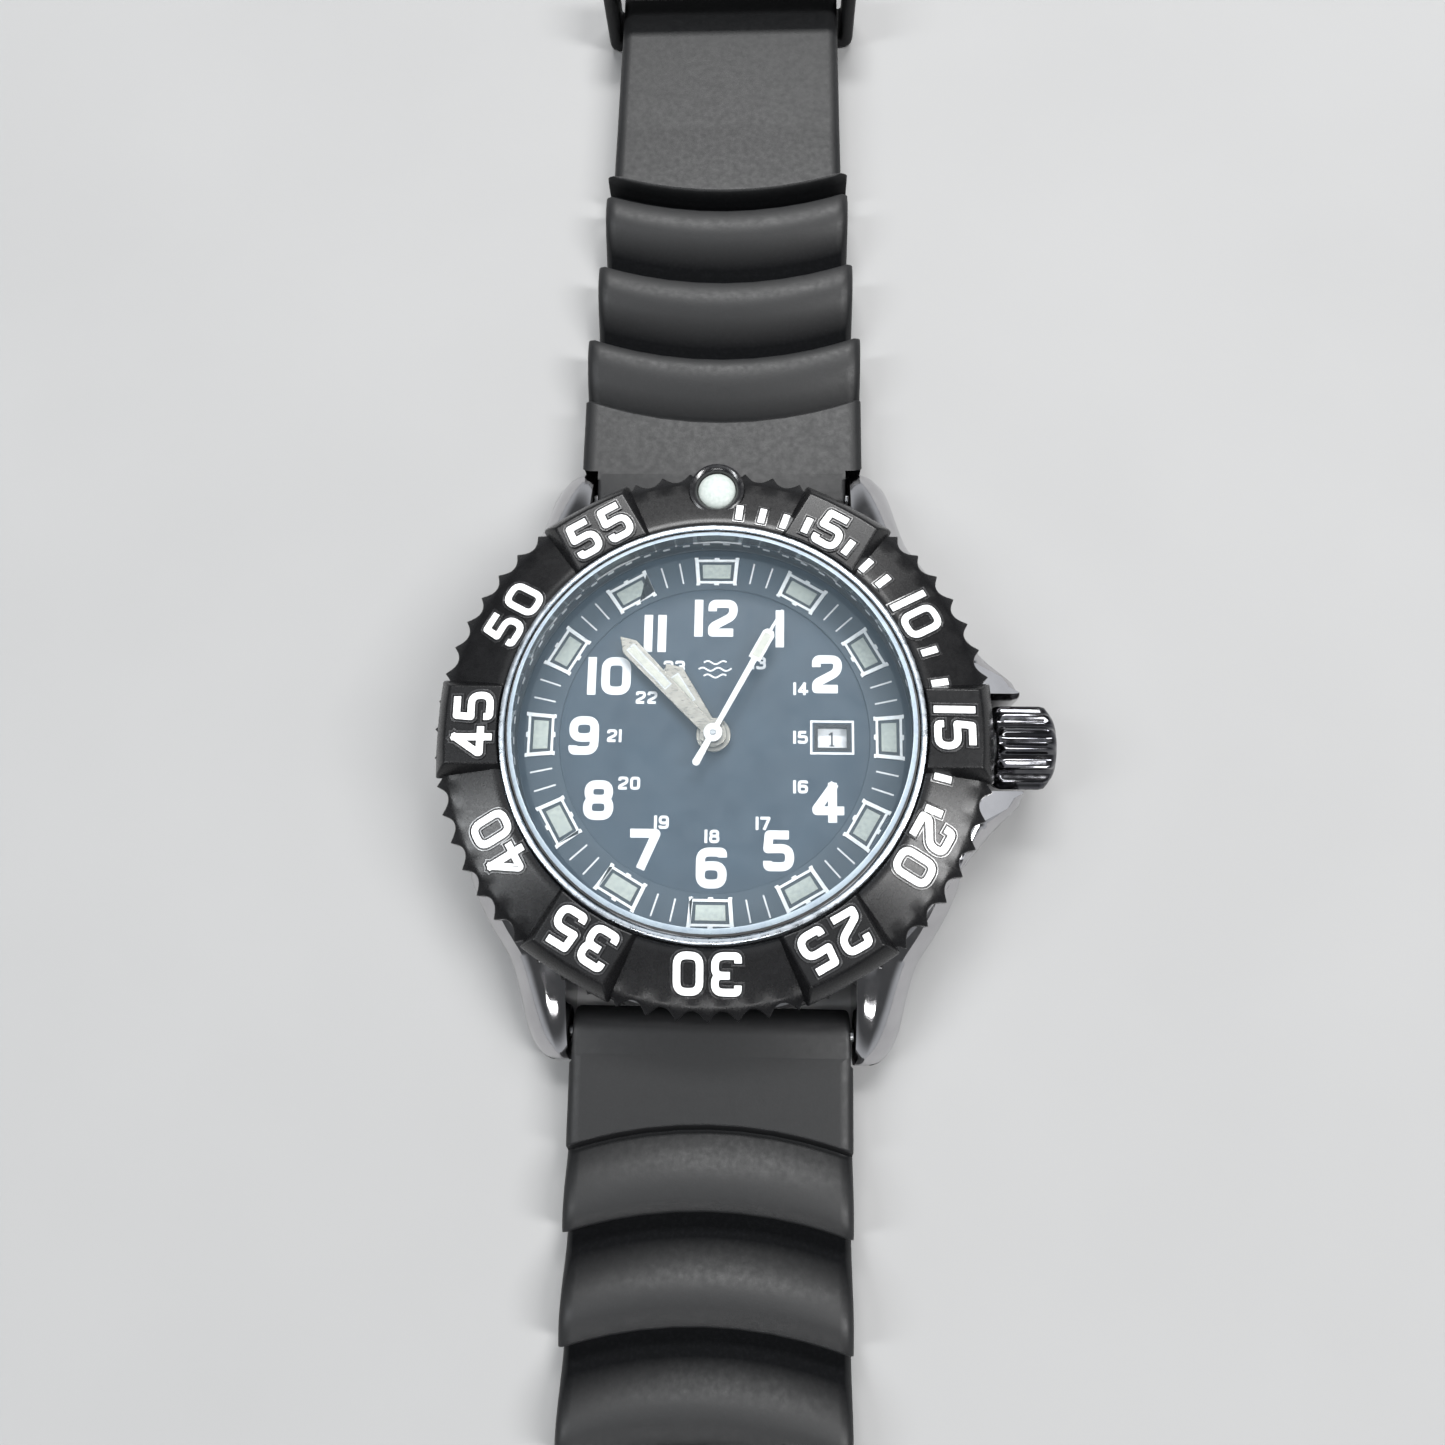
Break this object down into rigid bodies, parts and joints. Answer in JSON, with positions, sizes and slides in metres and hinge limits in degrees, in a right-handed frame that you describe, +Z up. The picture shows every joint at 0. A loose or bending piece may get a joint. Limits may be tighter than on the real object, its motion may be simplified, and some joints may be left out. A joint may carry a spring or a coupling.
{
  "type": "dive watch",
  "caption": "Dive watch with a toothed turning bezel, crown with guards, hands and date behind a flat crystal, and a humped rubber strap with a pin buckle.",
  "frame": {"origin": "centre of the case back's underside, on the surface that the watch lies on", "axes": "+Z up through the dial, +Y towards 12 o'clock along the strap, +X towards the crown"},
  "size_m": [0.0482, 0.2314, 0.0128],
  "materials": {
    "case_steel": "polished",
    "small_steel": "satin",
    "bezel_black": "satin black coating, bead-blasted in the low sections",
    "crown_dark": "glossy gunmetal",
    "strap_rubber": "matte, faintly dusty",
    "seal_rubber": "smooth",
    "crystal_glass": "polished flat mineral glass",
    "dial_navy": "satin",
    "date_white": "smooth",
    "lume": "pale luminous compound",
    "hand_steel": "brushed",
    "hand_white": "satin",
    "brass": "satin",
    "coil_copper": "enamelled winding",
    "board": "matte",
    "holder_plastic": "matte"
  },
  "bodies": {
    "case": {"case_middle": "case_steel", "case_back": "small_steel", "case_back_gasket": "seal_rubber", "crystal": "crystal_glass", "crystal_gasket": "seal_rubber", "flange_ring": "dial_navy", "crown_tube": "small_steel", "bezel_gasket": "seal_rubber", "bezel_retaining_wire": "small_steel", "bezel_click_spring": "small_steel", "dial": "dial_navy", "index_ring": "dial_navy", "date_disc_guard": "small_steel", "date_jumper": "small_steel", "main_plate": "brass", "movement_holder": "holder_plastic", "train_bridge": "brass", "bridge_screw_1": "small_steel", "bridge_screw_2": "small_steel", "circuit_board": "board", "quartz_can": "small_steel", "coil": "coil_copper", "stator": "small_steel", "battery": "small_steel", "battery_clamp": "small_steel", "spring_bar_12_tube": "small_steel", "spring_bar_12_spring": "small_steel", "spring_bar_6_tube": "small_steel", "spring_bar_6_spring": "small_steel"},
    "bezel": {"bezel": "bezel_black", "bezel_pip": "lume"},
    "sliding_pinion": {"sliding_pinion": "small_steel"},
    "crown": {"crown": "crown_dark", "crown_gasket": "seal_rubber", "winding_stem": "small_steel"},
    "setting_lever": {"setting_lever": "small_steel"},
    "yoke": {"yoke": "small_steel"},
    "seconds": {"seconds_wheel": "brass", "second_hand": "hand_white"},
    "rotor": {"rotor": "small_steel"},
    "fifth_wheel": {"fifth_wheel": "brass"},
    "third_wheel": {"third_wheel": "brass"},
    "minutes": {"center_wheel": "brass", "minute_hand": "hand_steel"},
    "minute_wheel": {"minute_wheel": "brass"},
    "hours": {"hour_wheel": "brass", "hour_hand": "hand_steel"},
    "date_driving_wheel": {"date_driving_wheel": "holder_plastic"},
    "date_disc": {"date_disc": "date_white"},
    "strap_12": {"strap_12": "strap_rubber", "keeper_fixed": "strap_rubber"},
    "strap_6": {"strap_6": "strap_rubber"},
    "keeper_free": {"keeper_free": "strap_rubber"},
    "buckle_frame": {"buckle_frame": "case_steel", "buckle_bar": "small_steel"},
    "buckle_tongue": {"buckle_tongue": "case_steel"},
    "tip_12_crown": {"spring_bar_12_tip_crown": "small_steel"},
    "tip_12_left": {"spring_bar_12_tip_left": "small_steel"},
    "tip_6_crown": {"spring_bar_6_tip_crown": "small_steel"},
    "tip_6_left": {"spring_bar_6_tip_left": "small_steel"}
  },
  "joints": [
    {"name": "bezel_turn", "type": "hinge", "parent": "case", "child": "bezel", "pos_m": [0, 0, 0.0085], "axis": [0, 0, 1], "continuous": true},
    {"name": "crown_turn", "type": "hinge", "parent": "case", "child": "sliding_pinion", "pos_m": [0.008, 0, 0.0049], "axis": [1, 0, 0], "continuous": true},
    {"name": "crown_pull", "type": "slide", "parent": "sliding_pinion", "child": "crown", "axis": [1, 0, 0], "range_m": [0, 0.0016]},
    {"name": "setting_lever_turn", "type": "hinge", "parent": "case", "child": "setting_lever", "pos_m": [0.011, 0.003, 0.0056], "axis": [0, 0, 1], "range_deg": [0, 38]},
    {"name": "yoke_turn", "type": "hinge", "parent": "case", "child": "yoke", "pos_m": [0.0066, -0.0032, 0.0036], "axis": [0, 0, 1], "range_deg": [0, 6.2]},
    {"name": "seconds_turn", "type": "hinge", "parent": "case", "child": "seconds", "pos_m": [0, 0, 0.005], "axis": [0, 0, -1], "continuous": true},
    {"name": "rotor_turn", "type": "hinge", "parent": "case", "child": "rotor", "pos_m": [-0.00547, -0.00199, 0.005], "axis": [0, 0, -1], "continuous": true},
    {"name": "fifth_wheel_turn", "type": "hinge", "parent": "case", "child": "fifth_wheel", "pos_m": [-0.00271, -0.00098, 0.005], "axis": [0, 0, -1], "continuous": true},
    {"name": "third_wheel_turn", "type": "hinge", "parent": "case", "child": "third_wheel", "pos_m": [-0.00059, 0.00335, 0.005], "axis": [0, 0, -1], "continuous": true},
    {"name": "minutes_turn", "type": "hinge", "parent": "case", "child": "minutes", "pos_m": [0, 0, 0.005], "axis": [0, 0, -1], "continuous": true},
    {"name": "minute_wheel_turn", "type": "hinge", "parent": "case", "child": "minute_wheel", "pos_m": [0.00168, -0.00291, 0.005], "axis": [0, 0, -1], "continuous": true},
    {"name": "hours_turn", "type": "hinge", "parent": "case", "child": "hours", "pos_m": [0, 0, 0.005], "axis": [0, 0, -1], "continuous": true},
    {"name": "date_driving_turn", "type": "hinge", "parent": "case", "child": "date_driving_wheel", "pos_m": [-0.00333, 0.00192, 0.005], "axis": [0, 0, -1], "continuous": true},
    {"name": "date_disc_turn", "type": "hinge", "parent": "case", "child": "date_disc", "pos_m": [0, 0, 0.0074], "axis": [0, 0, -1], "continuous": true},
    {"name": "strap_12_hinge", "type": "hinge", "parent": "case", "child": "strap_12", "pos_m": [0, 0.0226, 0.0023], "axis": [-1, 0, 0], "range_deg": [-10, 75]},
    {"name": "strap_6_hinge", "type": "hinge", "parent": "case", "child": "strap_6", "pos_m": [0, -0.0226, 0.0023], "axis": [1, 0, 0], "range_deg": [-10, 75]},
    {"name": "keeper_slide", "type": "slide", "parent": "strap_12", "child": "keeper_free", "axis": [0, 1, 0], "range_m": [-0.01, 0.006]},
    {"name": "buckle_frame_hinge", "type": "hinge", "parent": "strap_12", "child": "buckle_frame", "pos_m": [0, 0.095, 0.0024], "axis": [1, 0, 0], "range_deg": [-30, 45]},
    {"name": "buckle_tongue_hinge", "type": "hinge", "parent": "buckle_frame", "child": "buckle_tongue", "pos_m": [0, 0.095, 0.0024], "axis": [1, 0, 0], "range_deg": [0, 75]},
    {"name": "tip_12_crown_press", "type": "slide", "parent": "case", "child": "tip_12_crown", "axis": [-1, 0, 0], "range_m": [0, 0.0008], "stiffness_N_per_m": 300},
    {"name": "tip_12_left_press", "type": "slide", "parent": "case", "child": "tip_12_left", "axis": [1, 0, 0], "range_m": [0, 0.0008], "stiffness_N_per_m": 300},
    {"name": "tip_6_crown_press", "type": "slide", "parent": "case", "child": "tip_6_crown", "axis": [-1, 0, 0], "range_m": [0, 0.0008], "stiffness_N_per_m": 300},
    {"name": "tip_6_left_press", "type": "slide", "parent": "case", "child": "tip_6_left", "axis": [1, 0, 0], "range_m": [0, 0.0008], "stiffness_N_per_m": 300}
  ],
  "couplings": [
    {"joint": "rotor_turn", "follows": "seconds_turn", "ratio": 30},
    {"joint": "fifth_wheel_turn", "follows": "seconds_turn", "ratio": -5},
    {"joint": "third_wheel_turn", "follows": "seconds_turn", "ratio": -0.13333},
    {"joint": "minutes_turn", "follows": "seconds_turn", "ratio": 0.016667},
    {"joint": "minute_wheel_turn", "follows": "seconds_turn", "ratio": -0.0055556},
    {"joint": "hours_turn", "follows": "seconds_turn", "ratio": 0.0013889},
    {"joint": "date_driving_turn", "follows": "seconds_turn", "ratio": -0.00069444},
    {"joint": "setting_lever_turn", "follows": "crown_pull", "rad_per_m": 408},
    {"joint": "yoke_turn", "follows": "crown_pull", "rad_per_m": 65}
  ]
}
